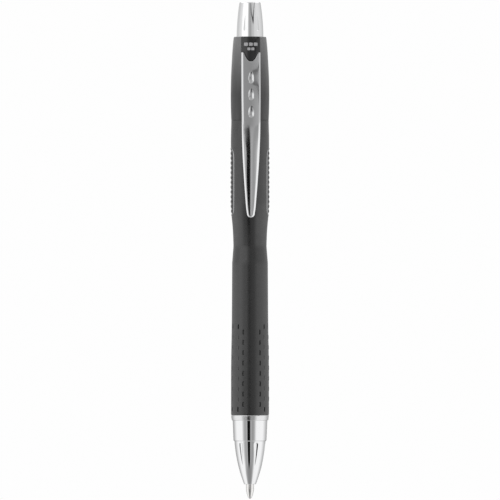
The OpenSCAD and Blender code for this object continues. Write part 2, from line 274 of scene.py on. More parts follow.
class Material:
    """A procedural material built on one Principled BSDF."""

    def __init__(self, name, colour, roughness, **sockets):
        self.material = bpy.data.materials.new(name)
        self.material.use_nodes = True
        self.tree = self.material.node_tree
        self.shader = self.tree.nodes["Principled BSDF"]
        self.set("Base Color", (*colour, 1))
        self.set("Roughness", roughness)
        for key, value in sockets.items():
            self.set(key.replace("_", " "), value)
        self.place = self.node("ShaderNodeTexCoord").outputs["Object"]

    def set(self, socket, value):
        self.shader.inputs[socket].default_value = value

    def node(self, kind, **inputs):
        made = self.tree.nodes.new(kind)
        for key, value in inputs.items():
            made.inputs[key.replace("_", " ")].default_value = value
        return made

    def link(self, source, target):
        self.tree.links.new(source, target)

    def stretched(self, scale):
        """Object coordinates scaled by a different amount along each axis."""
        mapping = self.node("ShaderNodeMapping", Scale=scale)
        self.link(self.place, mapping.inputs["Vector"])
        return mapping.outputs["Vector"]

    def noise(self, size_mm, detail=3.0, roughness=0.5, stretch=(1, 1, 1)):
        """Noise whose features are about size_mm across."""
        scale = 1 / (size_mm * MM)
        made = self.node("ShaderNodeTexNoise", Scale=scale, Detail=detail, Roughness=roughness)
        self.link(self.stretched(stretch), made.inputs["Vector"])
        return made.outputs["Fac"]

    def ramp(self, source, low, high, start=0.3, end=0.7):
        """Remaps a 0 to 1 pattern to run from low to high."""
        made = self.node("ShaderNodeMapRange")
        made.inputs["From Min"].default_value = start
        made.inputs["From Max"].default_value = end
        made.inputs["To Min"].default_value = low
        made.inputs["To Max"].default_value = high
        self.link(source, made.inputs["Value"])
        return made.outputs["Result"]

    def vary_roughness(self, source, low, high):
        self.link(self.ramp(source, low, high), self.shader.inputs["Roughness"])

    def vary_colour(self, source, dark, light, start=0.3, end=0.7):
        mix = self.node("ShaderNodeMix")
        mix.data_type = "RGBA"
        mix.inputs[6].default_value = (*dark, 1)
        mix.inputs[7].default_value = (*light, 1)
        self.link(self.ramp(source, 0, 1, start, end), mix.inputs["Factor"])
        self.link(mix.outputs[2], self.shader.inputs["Base Color"])

    def bump(self, *layers):
        """Bump from (pattern, depth in millimetres) layers, one on top of the other."""
        normal = None
        for source, depth in layers:
            made = self.node("ShaderNodeBump", Strength=1.0, Distance=depth * MM)
            self.link(source, made.inputs["Height"])
            if normal:
                self.link(normal, made.inputs["Normal"])
            normal = made.outputs["Normal"]
        self.link(normal, self.shader.inputs["Normal"])


def rubber(name, base, roughness, grain_mm, grain_depth):
    """Matte elastomer with a fine moulded grain and slight handling marks."""
    m = Material(name, base, roughness, Specular_IOR_Level=0.66)
    light = tuple(c * 1.25 for c in base)
    m.vary_colour(m.noise(2.5, 4.0), base, light)
    m.vary_roughness(m.noise(1.6, 5.0), roughness - 0.05, roughness + 0.06)
    m.bump((m.noise(grain_mm, 2.0), grain_depth), (m.noise(grain_mm * 6, 2.0), grain_depth))
    return m.material


def plated(name, base, roughness, spread, hairline=0.0):
    """Metal plating with faint polishing haze and, where asked, fine lengthwise lines."""
    m = Material(name, base, roughness, Metallic=1.0)
    m.vary_roughness(m.noise(1.8, 5.0, 0.6), roughness, roughness + spread)
    layers = [(m.noise(0.9, 2.0), 0.0004)]
    if hairline:
        layers.append((m.noise(0.12, 3.0, stretch=(1, 1, 0.04)), hairline))
    m.bump(*layers)
    return m.material


def painted_light_and_shade_along_pen(m, start_z, end_z):
    """A pattern that goes from 0 to 1 between two heights, broken up by soft lengthwise streaks. It
    places painted light on the housing and painted shade on the clip.
    """
    split = m.node("ShaderNodeSeparateXYZ")
    m.link(m.place, split.inputs[0])
    height = m.ramp(split.outputs["Z"], 0.0, 1.0, start_z * MM, end_z * MM)
    streaks = m.ramp(m.noise(2.2, 2.0, stretch=(1, 1, 0.12)), -0.12, 0.12)
    total = m.node("ShaderNodeMath")
    m.link(height, total.inputs[0])
    m.link(streaks, total.inputs[1])
    return total.outputs[0]


def soft_touch(name, dark, light, roughness):
    """Soft-touch plastic with painted light: its colour turns lighter towards the top of the pen,
    standing in for light falling there.
    """
    m = Material(name, dark, roughness)
    # painted light: the colour goes from dark to light between 117 and 133 mm
    m.vary_colour(painted_light_and_shade_along_pen(m, 117.0, 133.0), dark, light, 0.0, 1.0)
    m.vary_roughness(m.noise(1.6, 5.0), roughness - 0.03, roughness + 0.05)
    m.bump((m.noise(0.1, 2.0), 0.0015), (m.noise(1.4, 2.0, stretch=(1, 1, 0.2)), 0.004))
    return m.material


def clip_plating_painted_shade(name, low, high, roughness):
    """Plating with fine lengthwise lines and painted shade: the upper half is a little darker, standing
    in for darker reflections there.
    """
    m = Material(name, low, roughness, Metallic=1.0)
    # painted shade: the colour darkens from low to high between 103 and 109 mm
    m.vary_colour(painted_light_and_shade_along_pen(m, 103.0, 109.0), low, high, 0.0, 1.0)
    m.vary_roughness(m.noise(1.8, 5.0, 0.6), roughness, roughness + 0.05)
    m.bump((m.noise(1.1, 2.0), 0.0004), (m.noise(0.12, 3.0, stretch=(1, 1, 0.04)), 0.0004))
    return m.material


def moulded(name, base, roughness, speck=0.2, depth=0.002, **sockets):
    """Injection-moulded plastic with a fine surface and slight colour drift."""
    m = Material(name, base, roughness, **sockets)
    m.vary_colour(m.noise(3.0, 3.0), base, tuple(min(1, c * 1.12) for c in base))
    m.vary_roughness(m.noise(0.8, 4.0), roughness, roughness + 0.08)
    m.bump((m.noise(speck, 2.0), depth))
    return m.material


def turned_metal(name, base, roughness, groove_mm, depth=0.0008):
    """Bare metal with the fine rings that turning leaves."""
    m = Material(name, base, roughness, Metallic=1.0)
    m.vary_roughness(m.noise(0.5, 4.0), roughness, roughness + 0.1)
    m.bump((m.noise(groove_mm, 2.0, stretch=(0.05, 0.05, 1)), depth))
    return m.material


GRIP_RUBBER = rubber("grip_rubber", (0.005, 0.005, 0.0052), 0.28, 0.16, 0.002)
# painted light: the housing's colour is painted lighter towards its top
HOUSING_PAINTED_LIGHT = soft_touch("housing_soft_touch_painted_light", (0.013, 0.013, 0.0132), (0.135, 0.135, 0.136), 0.34)
PANEL = moulded("panel_plastic", (0.007, 0.007, 0.007), 0.3, 0.12, 0.001, Specular_IOR_Level=0.4)
SHIELD = moulded("shield_gloss", (0.006, 0.006, 0.0062), 0.14, 0.9, 0.0005)
MARK = moulded("mark_paint", (0.3, 0.3, 0.305), 0.45, 0.1, 0.001)
CHROME = plated("nose_chrome", (0.55, 0.552, 0.556), 0.03, 0.04)
RING_CHROME = plated("ring_chrome", (0.5, 0.502, 0.505), 0.17, 0.06)
PANEL_TRIM = plated("panel_trim", (0.36, 0.362, 0.365), 0.16, 0.05)
BUTTON_CHROME = plated("button_chrome", (0.64, 0.642, 0.646), 0.04, 0.04)
# painted shade: the clip's upper half is painted darker
CLIP_CHROME_PAINTED_SHADE = clip_plating_painted_shade("clip_chrome", (0.54, 0.542, 0.546), (0.47, 0.472, 0.476), 0.07)
POINT = turned_metal("point_steel", (0.54, 0.535, 0.525), 0.1, 0.05, 0.0002)
BALL = turned_metal("ball_carbide", (0.3, 0.3, 0.31), 0.08, 0.02)
WIRE = turned_metal("spring_wire", (0.5, 0.5, 0.52), 0.2, 0.05)
BLACK = moulded("black_plastic", (0.012, 0.012, 0.0125), 0.35)
GREY = moulded("grey_plastic", (0.16, 0.163, 0.17), 0.4)
WHITE = moulded("white_plastic", (0.55, 0.55, 0.54), 0.35, Subsurface_Weight=0.1)
TUBE = moulded("clear_tube", (0.75, 0.77, 0.77), 0.2, Transmission_Weight=0.85, IOR=1.48)
INK = moulded("gel_ink", (0.004, 0.004, 0.005), 0.08, 1.5, 0.001)
GREASE = moulded("follower_grease", (0.75, 0.7, 0.5), 0.15, Transmission_Weight=0.9, IOR=1.46)

CAD_FINISHES = {
    "cam_sleeve": GREY,
    "thrust_tube": WHITE,
    "cam_rotor": WHITE,
    "ink_tube": TUBE,
    "ink_column": INK,
    "ink_follower": GREASE,
    "tip_holder": WHITE,
    "ball_spring": WIRE,
    "refill_end_cap": BLACK,
}


def finish_cad_nodes():
    """Gives each CAD node that stays in view its procedural material."""
    for node, material in CAD_FINISHES.items():
        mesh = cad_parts[node].data
        mesh.materials.clear()
        mesh.materials.append(material)


# ---- teardrop dimples of the nose and the button ----

DIMPLE_COUNT = 6
DIMPLE_PITCH = 360 / DIMPLE_COUNT
DIMPLE_REACH = 13.0  # degrees each side of a dimple that the fine grid covers
DIMPLE_TAPER = 0.7
DIMPLE_WALL = 0.55  # share of the half-width that slopes; the rest is the flat bottom
DIMPLE_CREASE = 62
CLOSE_STEP, WIDE_STEP = 0.45, 2.4


def dimple_azimuths(turn):
    """Azimuths of a turned part, closer together across each dimple."""
    close = steps(-DIMPLE_REACH, DIMPLE_REACH, CLOSE_STEP)
    wide = steps(DIMPLE_REACH, DIMPLE_PITCH - DIMPLE_REACH, WIDE_STEP)[1:-1]
    azimuths = []
    for i in range(DIMPLE_COUNT):
        azimuths += [turn + i * DIMPLE_PITCH + a for a in close + wide]
    return azimuths


def teardrop_depth(azimuth, radius, z, turn, round_z, point_z, half_width, slope):
    """Depth at a point of the nearest teardrop, which is round at one end and pointed at the other."""
    across = (azimuth - turn + DIMPLE_PITCH / 2) % DIMPLE_PITCH - DIMPLE_PITCH / 2
    side = abs(radius * math.radians(across))
    share = (z - point_z) / (round_z - point_z)
    if share <= 0:
        return 0
    if share <= 1:
        width = half_width * share**DIMPLE_TAPER
        inside = width - side
    else:
        width = half_width
        inside = width - math.hypot(side, z - round_z)
    return slope * max(0, min(inside, DIMPLE_WALL * width))


# ---- nose, ring and writing point ----

NOSE_TURN = 21.0
NOSE_DIMPLE = {"round_z": 15.75, "point_z": 9.6, "half_width": 0.68, "slope": 0.62}
STEP_Z = 16.8
NOSE_BORE_R = 4.13
GUIDE_R = 1.22


def nose_outline():
    """Closed outline of the nose: inside the mouth, over the cone and collar, and back inside."""
    outside = [(1.62, MOUTH_Z)] + arc((1.62, MOUTH_Z), (1.78, MOUTH_Z + 0.16), 0.04, 4)
    outside += arc((1.78, MOUTH_Z + 0.16), (4.5, STEP_Z - 0.1), 0.465, 130)
    outside += arc((4.5, STEP_Z - 0.1), (4.68, STEP_Z + 0.02), -0.03, 4)
    outside += arc((4.68, STEP_Z + 0.02), (4.785, STEP_Z + 0.16), 0.03, 5)
    collar = [(4.788, STEP_Z + 0.22)]
    collar += refined([(4.788, STEP_Z + 0.22), (5.02, NOSE_TOP)], 0.6)[1:]
    bore = [(NOSE_BORE_R, NOSE_TOP), (NOSE_BORE_R, 17.0), (2.65, 17.0), (2.65, 9.0), (GUIDE_R, 9.0)]
    mouth = [(GUIDE_R, MOUTH_Z + 0.2), (1.3, MOUTH_Z + 0.04), (1.38, MOUTH_Z)]
    return outside + collar + bore + mouth


def nose():
    inner_r = 3.0
    azimuths = dimple_azimuths(NOSE_TURN)

    def sink(azimuth, radius, z):
        if radius < inner_r or z > STEP_Z - 0.05:
            return 0
        return teardrop_depth(azimuth, radius, z, NOSE_TURN, **NOSE_DIMPLE)

    piece = lathe("nose_shell", nose_outline(), CHROME, azimuths, sink, DIMPLE_CREASE)
    place(piece, "nose", "chrome", "nose_cone")


def ring():
    low, high = RING_LOW, RING_TOP
    outline = [(NOSE_BORE_R, low), (5.12, low)] + arc((5.12, low), (5.3, low + 0.16), 0.04, 6)
    outline += arc((5.3, low + 0.16), (5.42, high - 0.2), 0.02, 8)
    outline += arc((5.42, high - 0.2), (5.3, high), 0.035, 5) + [(NOSE_BORE_R, high)]
    place(lathe("ring_band", outline, RING_CHROME, crease=40), "trim_ring", "chrome", "trim_ring")


def writing_point():
    """The metal point: a shank, an ogive and the lip that holds the ball."""
    outer = [(0.53, POINT_LOW)] + arc((0.53, POINT_LOW), (0.6, 0.5), 0.01, 3)
    outer += arc((0.6, 0.5), (1.02, 1.85), 0.035, 10)
    outer += arc((1.02, 1.85), (1.15, 2.65), 0.02, 6)
    outer += refined([(1.15, 2.65), (1.15, 8.0)], 1.0)[1:]
    outer += [(1.15, POINT_HIGH), (0.47, POINT_HIGH), (0.47, 1.9), (0.3, 1.9), (0.3, 0.93)]
    outer += [(0.46, 0.75), (0.52, 0.5), (0.485, POINT_LOW)]
    place(lathe("point_body", outer, POINT, crease=24), "refill", "point_steel", "point_housing")


def ball():
    low, high = heights("writing_ball")
    radius = (high - low) / 2
    outline = []
    for a in steps(-90, 90, 7.5):
        t = math.radians(a)
        outline.append((radius * math.cos(t), low + radius + radius * math.sin(t)))
    piece = lathe("ball_sphere", outline, BALL, steps(0, 360, 7.5)[:-1])
    place(piece, "ball", "carbide", "writing_ball")


# ---- grip sleeve ----

DASH_LENGTH = 1.3
DASH_WIDTH = 0.42
DASH_DEPTH = 0.3
DASH_RISE = 0.12
DASH_PITCH = 2.99
DASH_TURN = 3.0
DASH_GROUPS = 3
SLOT_COLUMN, BEAD_COLUMN = 26.5, 45.0
SLOT_FIRST, SLOT_COUNT = 27.4, 8
BEAD_FIRST, BEAD_COUNT = 25.95, 9
DASH_LOW, DASH_HIGH = 25.1, 51
LIP_HEIGHT, LIP_DEPTH = 0.3, 0.1
STRAIGHT_TOP = 37.3
TAPER_TOP, TAPER_R = 68.4, 5.18
BODY_LOW, BODY_HIGH = 85.4, 104
PANEL_ANGLE = 30.0
PANEL_WINDOW = 42.0
PANEL_POWER = 10
EDGE_ANGLE = 0.02
POCKET_R = 5.12
PANEL_MID = (PANEL_LOW + PANEL_HIGH) / 2
PANEL_HALF = (PANEL_HIGH - PANEL_LOW) / 2

lower_grip = smooth_curve(
    [(STRAIGHT_TOP, GRIP_R), (42.5, 5.43), (48.9, 5.31), (57, 5.24), (TAPER_TOP, TAPER_R)]
)
rise_to_body = smooth_curve(
    [(WAIST_Z, WAIST_R), (75, 4.85), (77.3, 4.95), (79.7, 5.12), (80.9, 5.25), (83, 5.43),
     (BODY_LOW, BODY_R)]
)


def grip_radius(z):
    """Radius of the sleeve's smooth outside."""
    if z < GRIP_LOW + LIP_HEIGHT:
        t = (z - GRIP_LOW) / LIP_HEIGHT
        return GRIP_R - LIP_DEPTH * (1 - math.sqrt(1 - (1 - t) ** 2))
    if z < STRAIGHT_TOP:
        return GRIP_R
    if z < TAPER_TOP:
        return lower_grip(z)
    if z < WAIST_Z:
        return TAPER_R + (WAIST_R - TAPER_R) * (z - TAPER_TOP) / (WAIST_Z - TAPER_TOP)
    if z < BODY_LOW:
        return rise_to_body(z)
    if z < BODY_HIGH:
        return BODY_R
    return BODY_R + (NECK_R - BODY_R) * ease((z - BODY_HIGH) / (SEAM_Z - BODY_HIGH))


def panel_share(z):
    """Half-width of a flank panel at a height, as a share of its widest. Its corners are round."""
    t = abs(z - PANEL_MID) / PANEL_HALF
    return math.sqrt(max(0.0, 1 - t**PANEL_POWER))


def dash_columns():
    """(azimuth, height of the first dash, number of dashes, whether all but the end ones stand proud)."""
    columns = []
    for i in range(DASH_GROUPS):
        for side in (-1, 1):
            middle = DASH_TURN + i * 360 / DASH_GROUPS
            columns.append(((middle + side * SLOT_COLUMN) % 360, SLOT_FIRST, SLOT_COUNT, False))
            columns.append(((middle + side * BEAD_COLUMN) % 360, BEAD_FIRST, BEAD_COUNT, True))
    return columns


def dash_depth(side_mm, z, first, count, beads):
    """Depth of a column's dashes side_mm off its middle line, negative where one stands proud."""
    nearest = clamp(round((z - first) / DASH_PITCH), 0, count - 1)
    along = abs(z - first - nearest * DASH_PITCH)
    straight = (DASH_LENGTH - DASH_WIDTH) / 2
    distance = math.hypot(side_mm, max(0.0, along - straight))
    if beads and 0 < nearest < count - 1:
        return -DASH_RISE * ease((DASH_WIDTH / 2 + 0.1 - distance) / 0.26)
    return DASH_DEPTH * ease((DASH_WIDTH / 2 + 0.04 - distance) / 0.1)


def grip_azimuths():
    """Azimuths of the sleeve's grid, each with the dash column it belongs to, if any."""
    clear_of_dashes = 4.5
    made = []
    for azimuth, *column in dash_columns():
        for side in (-0.34, -0.24, -0.18, -0.12, 0, 0.12, 0.18, 0.24, 0.34):
            made.append((azimuth + math.degrees(side / GRIP_R), (side, column)))
    for azimuth in steps(0, 360, 3)[:-1]:
        gap = min(abs((azimuth - c[0] + 180) % 360 - 180) for c in dash_columns())
        if gap > clear_of_dashes:
            made.append((azimuth, None))
    for flank in (90, 270):
        for side in (-1, 1):
            made = [m for m in made if abs(m[0] - flank - side * PANEL_ANGLE) > 1.0]
            made.append((flank + side * (PANEL_ANGLE - EDGE_ANGLE), None))
            made.append((flank + side * (PANEL_ANGLE + EDGE_ANGLE), None))
    return sorted(made, key=lambda m: m[0])


def squeezed(azimuth, z):
    """Moves a grid azimuth so that one pair of grid lines runs along each panel's edge."""
    edge_fade, gap_fade, gap_size = 16, 4, 0.4
    for flank in (90, 270):
        off = azimuth - flank
        if abs(off) > PANEL_WINDOW:
            continue
        outside = max(PANEL_LOW - z, z - PANEL_HIGH)
        if outside < 0:
            width = panel_share(z)
        else:
            width = ease(outside / edge_fade)
        edge = PANEL_ANGLE * width
        gap = gap_size * (1 - ease(outside / gap_fade))
        size = abs(off)
        if size <= PANEL_ANGLE:
            moved = edge * size / PANEL_ANGLE
        else:
            share = (size - PANEL_ANGLE - EDGE_ANGLE) / (PANEL_WINDOW - PANEL_ANGLE - EDGE_ANGLE)
            moved = edge + gap + (PANEL_WINDOW - edge - gap) * clamp(share)
        return flank + math.copysign(moved, off)
    return azimuth


def panel_rows(size):
    """Heights across a flank panel, closer together towards its round ends."""
    end = 1.6
    inset = [end * share * share for share in steps(0.06, 1, 0.06)]
    rows = [PANEL_LOW + x for x in inset]
    rows += steps(PANEL_LOW + end, PANEL_HIGH - end, size)[1:]
    return rows + [PANEL_HIGH - x for x in reversed(inset[:-1])]


def grip_rows():
    """Heights of the sleeve's grid, closer together at the lip, the dashes and the panels."""
    rows = steps(GRIP_LOW, GRIP_LOW + LIP_HEIGHT, 0.06)
    rows += steps(GRIP_LOW + LIP_HEIGHT, DASH_LOW, 0.3)[1:]
    rows += steps(DASH_LOW, DASH_HIGH, 0.15)[1:]
    rows += steps(DASH_HIGH, TAPER_TOP, 0.9)[1:]
    rows += steps(TAPER_TOP, WAIST_Z, 0.6)[1:]
    rows += steps(WAIST_Z, PANEL_LOW - 0.01, 0.45)[1:]
    rows += panel_rows(0.4)
    rows += steps(PANEL_HIGH + 0.01, SEAM_Z - 0.05, 0.5)
    return rows


def grip():
    azimuths = grip_azimuths()
    points = []
    rows = grip_rows()
    for z in rows:
        inside_panel = PANEL_LOW < z < PANEL_HIGH
        for azimuth, column in azimuths:
            radius = grip_radius(z)
            if column and DASH_LOW < z < DASH_HIGH:
                radius -= dash_depth(column[0], z, *column[1])
            off = min(abs(azimuth - 90), abs(azimuth - 270))
            if inside_panel and off < PANEL_ANGLE:
                radius = POCKET_R
            points.append(polar(radius, squeezed(azimuth, z), z))
    for radius, z in ((NECK_R - 0.06, SEAM_Z), (CORE_R, SEAM_Z), (CORE_R, GRIP_LOW)):
        points += [polar(radius, azimuth, z) for azimuth, _ in azimuths]
    faces = grid_faces(len(rows) + 3, len(azimuths), True, True)
    piece = make_piece("grip_skin", points, faces, GRIP_RUBBER, 30)
    place(piece, "barrel", "grip_rubber", "grip_sleeve")


RIB_PITCH = 1.4
RIB_HEIGHT = 0.1
RIB_PHASE = 0.6
RIM_WIDTH, RIM_BLEND, RIM_PROUD = 0.5, 0.35, 0.03
CHAMFER_DEPTH, CHAMFER_WIDTH = 0.16, 0.22


def panel_height(across, z):
    """Radius of a panel's face. across runs from -1 to 1 between its edges."""
    edge_mm = (1 - abs(across)) * math.radians(PANEL_ANGLE) * panel_share(z) * BODY_R
    turn = 2 * math.pi * (z - PANEL_MID - RIB_PHASE - RIB_PITCH / 2) / RIB_PITCH
    rib = 0.5 + 0.5 * math.cos(turn)
    rim = BODY_R + RIM_PROUD
    face = BODY_R - RIB_HEIGHT + 2 * RIB_HEIGHT * rib**0.7
    blend = ease((edge_mm - RIM_WIDTH) / RIM_BLEND)
    chamfer = CHAMFER_DEPTH * (1 - clamp(edge_mm / CHAMFER_WIDTH))
    return rim + (face - rim) * blend - chamfer


def side_panel(name, flank, node):
    across = [-1, -0.985, -0.95, -0.9, -0.85, -0.8] + steps(-0.75, 0.75, 0.125)
    across += [0.8, 0.85, 0.9, 0.95, 0.985, 1]
    front, back = [], []
    for z in panel_rows(0.1):
        body = grip_radius(z) - BODY_R
        for a in across:
            azimuth = flank + a * (PANEL_ANGLE * panel_share(z))
            front.append(polar(panel_height(a, z) + body, azimuth, z))
            back.append(polar(POCKET_R + 0.02, azimuth, z))
    piece = patch(name, front, back, len(across), PANEL)
    place(piece, "barrel", "panel_plastic", node)


TRIM_PROFILE = (
    (-0.2, -0.3), (-0.2, 0.0), (-0.15, 0.06), (-0.06, 0.095), (0.06, 0.095), (0.15, 0.06),
    (0.2, 0.0), (0.2, -0.3),
)
TRIM_POINTS = 240
TRIM_THIN = 0.3


def panel_trim(name, flank):
    """A fine plated bead along the edge of a flank panel, thinner round its ends."""
    half_mm = math.radians(PANEL_ANGLE) * BODY_R
    middle = []
    for i in range(TRIM_POINTS):
        turn = 2 * math.pi * i / TRIM_POINTS
        z = PANEL_MID - PANEL_HALF * math.cos(turn)
        middle.append((math.copysign(half_mm * panel_share(z), math.sin(turn)), z))
    points = []
    for i, (side, z) in enumerate(middle):
        before, after = middle[i - 1], middle[(i + 1) % len(middle)]
        along = Vector((after[0] - before[0], after[1] - before[1])).normalized()
        full = TRIM_THIN + (1 - TRIM_THIN) * ease((PANEL_HALF - 0.3 - abs(z - PANEL_MID)) / 1.5)
        for out, rise in TRIM_PROFILE:
            s = side - along.y * out * full
            height = z + along.x * out * full
            radius = grip_radius(height) + (rise * full if rise > 0 else rise)
            points.append(polar(radius, flank + math.degrees(s / BODY_R), height))
    faces = grid_faces(len(middle), len(TRIM_PROFILE), True, True)
    place(make_piece(name, points, faces, PANEL_TRIM, 50), "barrel", "chrome")


# ---- rear housing, shield and mark ----

crown = smooth_curve(
    [(SEAM_Z, NECK_R), (112, 5.51), (116.8, 5.585), (121.4, 5.52), (124.5, 5.4),
     (127.2, 5.25), (130, 5.08), (133.1, 4.8), (RIM_Z, 4.68)]
)


def housing_outline():
    outside = [(NECK_R - 0.05, SEAM_Z)]
    outside += [(crown(z), z) for z in steps(SEAM_Z + 0.05, RIM_Z - 0.35, 0.5)]
    outside += arc((crown(RIM_Z - 0.35), RIM_Z - 0.35), (crown(RIM_Z) - 0.12, RIM_Z), 0.05, 5)
    mouth = [(4.02, RIM_Z), (3.93, RIM_Z - 0.12), (3.93, 131), (4.05, 131), (4.05, 125.2)]
    return outside + mouth + [(4.45, 125.2), (4.45, 111), (3.4, 111), (3.4, SEAM_Z)]


def housing():
    piece = lathe("housing_shell", housing_outline(), HOUSING_PAINTED_LIGHT)
    place(piece, "barrel", "housing_plastic", "rear_housing")


SHIELD_HALF = 2.75
SHIELD_LOW = heights("clip_shield")[0]
SHOULDER_Z = CLIP_TOP + 0.15
SHIELD_PROUD = 0.6
SHIELD_TIP_HALF = 2.05
BEVEL_DEPTH, BEVEL_WIDTH, TOP_BEVEL = 0.14, 0.2, 0.12


def shield_front(x, z):
    """Distance from the axis plane of the shield's face at a place across it."""
    radius = crown(z) + SHIELD_PROUD
    return math.sqrt(radius**2 - x * x)


def shield():
    """The glossy shield: a rounded tongue into the clip's notch, and a band up to the rim."""
    rows = []
    for share in steps(0, 1, 1 / 14):
        height = SHIELD_LOW + (SHOULDER_Z - SHIELD_LOW) * share * share
        rows.append((height, SHIELD_TIP_HALF * max(share, 0.02)))
    rows += [(SHOULDER_Z + 0.001, SHIELD_TIP_HALF + 0.25), (SHOULDER_Z + 0.002, SHIELD_HALF)]
    rows += [(z, SHIELD_HALF) for z in steps(SHOULDER_Z + 0.12, RIM_Z - 0.15, 0.4)]
    rows += [(RIM_Z - 0.06, SHIELD_HALF), (RIM_Z, SHIELD_HALF)]
    across = [-1, -0.985, -0.95, -0.9] + steps(-0.85, 0.85, 0.1) + [0.9, 0.95, 0.985, 1]
    front, back = [], []
    for z, half in rows:
        top = ease((RIM_Z - z) / BEVEL_WIDTH)
        for a in across:
            edge_mm = (1 - abs(a)) * half
            bevel = BEVEL_DEPTH * (1 - clamp(edge_mm / BEVEL_WIDTH)) ** 1.5 + TOP_BEVEL * (1 - top)
            x = a * half
            front.append((x, -(shield_front(x, z) - bevel), z))
            back.append((x, -math.sqrt((crown(z) - 0.05) ** 2 - x * x), z))
    piece = patch("shield_gloss", front, back, len(across), SHIELD)
    place(piece, "barrel", "shield_gloss", "clip_shield")


def mark_bar(name, centre_x, z, width, height):
    """A plain printed bar with rounded corners on the shield's face."""
    front, back = [], []
    columns = steps(-1, 1, 0.1)
    corner, proud, sunk = 0.18, 0.012, 0.05
    for v in (-1, -0.96, -0.9, -0.8, -0.65, 0, 0.65, 0.8, 0.9, 0.96, 1):
        beyond = clamp((abs(v) * height / 2 - height / 2 + corner) / corner)
        for u in columns:
            reach = width / 2 - corner * (1 - math.sqrt(1 - beyond * beyond))
            x = centre_x + u * reach
            y = shield_front(x, z + v * height / 2)
            front.append((x, -(y + proud), z + v * height / 2))
            back.append((x, -(y - sunk), z + v * height / 2))
    piece = patch(name, front, back, len(columns), MARK)
    place(piece, "barrel", "white_plastic")


def mark():
    """An abstract mark of plain bars: three above and two below."""
    for i, x in enumerate((-1.4, 0, 1.4)):
        mark_bar(f"mark_upper_{i}", x, 131.65, 1.1, 0.95)
    for i, x in enumerate((-0.56, 0.56)):
        mark_bar(f"mark_lower_{i}", x, 130.3, 0.9, 0.8)


# ---- clip ----

CLIP_END_R = 1.12
CLIP_HALF = 2.78
CROWN_HALF = 2.8
NOTCH_LOW = 126.55
NOTCH_HALF = 2.2
OVALS = (112.05, 117.1, 122.0)
OVAL_HALF_W, OVAL_HALF_H, OVAL_DEPTH = 0.84, 1.7, 0.28
OVAL_DROP = 0.35
EDGE_ROLL = 0.28
EDGE_WIDTH = 0.62
NOTCH_ROLL, NOTCH_ROLL_WIDTH = 0.04, 0.12
HINGE_Z = 126.5

clip_back = smooth_curve(
    [(CLIP_LOW, 5.78), (84, 5.74), (86, 5.75), (88.5, 5.95), (96.75, 6.72), (105, 7.15),
     (112.25, 6.97), (119.5, 6.4), (124.5, 5.72), (127, 5.52), (CLIP_TOP, 5.44)]
)
clip_front = smooth_curve(
    [(CLIP_LOW, 6.08), (84, 6.21), (86, 6.35), (88.5, 6.55), (96.75, 7.32), (105, 7.73),
     (107.5, 7.75), (112.25, 7.59), (119.5, 7.0), (124.5, 6.32), (127, 6.12), (CLIP_TOP, 6.04)]
)
clip_half = smooth_curve(
    [(CLIP_LOW + CLIP_END_R, CLIP_END_R), (84.3, 1.36), (87.8, 1.64), (91.3, 1.91), (94.75, 2.14),
     (98.2, 2.355), (101.7, 2.51), (105.2, 2.63), (112.2, 2.73), (118, CLIP_HALF),
     (CLIP_TOP, CLIP_HALF)]
)
clip_crown = smooth_curve([(CLIP_LOW, 0.62), (99, 0.6), (110, 0.2), (CLIP_TOP, 0.15)])


def clip_width(z):
    """Half of the clip's width at a height, with a round end."""
    centre = CLIP_LOW + CLIP_END_R
    if z >= centre:
        return clip_half(z)
    return max(0.02, math.sqrt(max(0.0, CLIP_END_R**2 - (centre - z) ** 2)))


def clip_bow(x, z):
    """How far the bowed sheet falls away at a distance from its middle line."""
    return clip_crown(z) * (x / CROWN_HALF) ** 2


def clip_face(x, z, edge_mm):
    """Distance of the clip's face from the axis plane: bowed, rolled over at its edges, with ovals."""
    roll = EDGE_ROLL * (1 - clamp(edge_mm / EDGE_WIDTH)) ** 2.2
    oval = 0.0
    for centre in OVALS:
        rise = (z - centre) / OVAL_HALF_H + OVAL_DROP
        rise /= 1 + math.copysign(OVAL_DROP, rise)
        oval += OVAL_DEPTH * max(0.0, 1 - (x / OVAL_HALF_W) ** 2 - rise * rise) ** 0.9
    return clip_front(z) - clip_bow(x, z) - roll - oval


def clip_shares():
    """Grid places across the clip, from -1 to 1, finer over the ovals and at the rims."""
    half = [0, 0.03, 0.06, 0.09, 0.12, 0.15, 0.18, 0.21, 0.24, 0.265, 0.285, 0.3, 0.33, 0.38]
    half += [0.44, 0.5, 0.56, 0.62, 0.68, 0.74, 0.78, 0.81, 0.825, 0.84, 0.87, 0.9, 0.93, 0.96]
    half += [0.98, 1.0]
    return [-h for h in reversed(half[1:])] + half


def clip_rows():
    """Grid places along the clip, from its round end to the foot of the notch."""
    rows = [CLIP_LOW + CLIP_END_R * (1 - math.cos(math.radians(a))) for a in steps(4, 90, 7)]
    rows += steps(CLIP_LOW + CLIP_END_R, 109.5, 0.5)[1:]
    rows += steps(109.5, 124.5, 0.12)[1:]
    rows += steps(124.5, NOTCH_LOW - 0.6, 0.2)[1:]
    return rows


